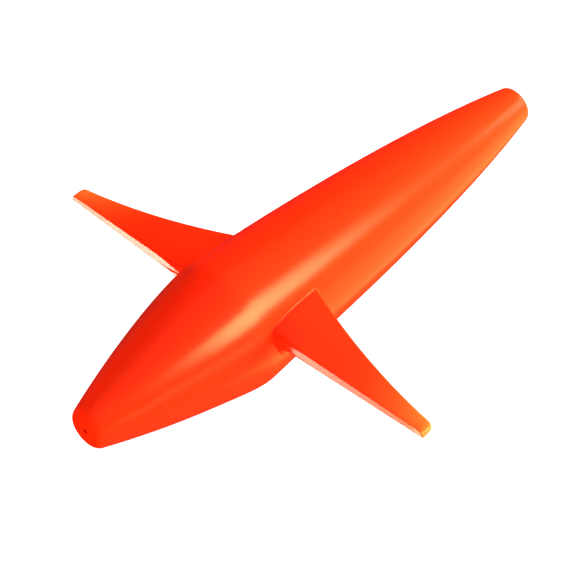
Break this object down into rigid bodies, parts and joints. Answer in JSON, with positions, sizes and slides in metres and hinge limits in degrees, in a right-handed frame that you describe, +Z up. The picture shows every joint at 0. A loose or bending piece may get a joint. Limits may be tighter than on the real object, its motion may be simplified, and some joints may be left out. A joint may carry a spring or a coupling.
{
  "type": "trolling bird teaser",
  "caption": "Hollow plastic surface teaser for trolling: a spindle float in glued halves with tapered side wings, an inner line tube and a keel weight.",
  "frame": {"origin": "middle of the overall box, on the plane that the belly touches", "axes": "+X along the axis towards the tail, so the head points to -X; +Y towards the right wing; +Z up"},
  "size_m": [0.23, 0.193, 0.0526],
  "materials": {
    "float_orange": "glossy moulded plastic, solid fluorescent orange",
    "tube_nylon": "natural extruded nylon",
    "weight_steel": "zinc-plated steel rod"
  },
  "bodies": {
    "root": {"shell_left": "float_orange", "shell_right": "float_orange", "line_tube": "tube_nylon", "keel_weight": "weight_steel"}
  },
  "joints": []
}
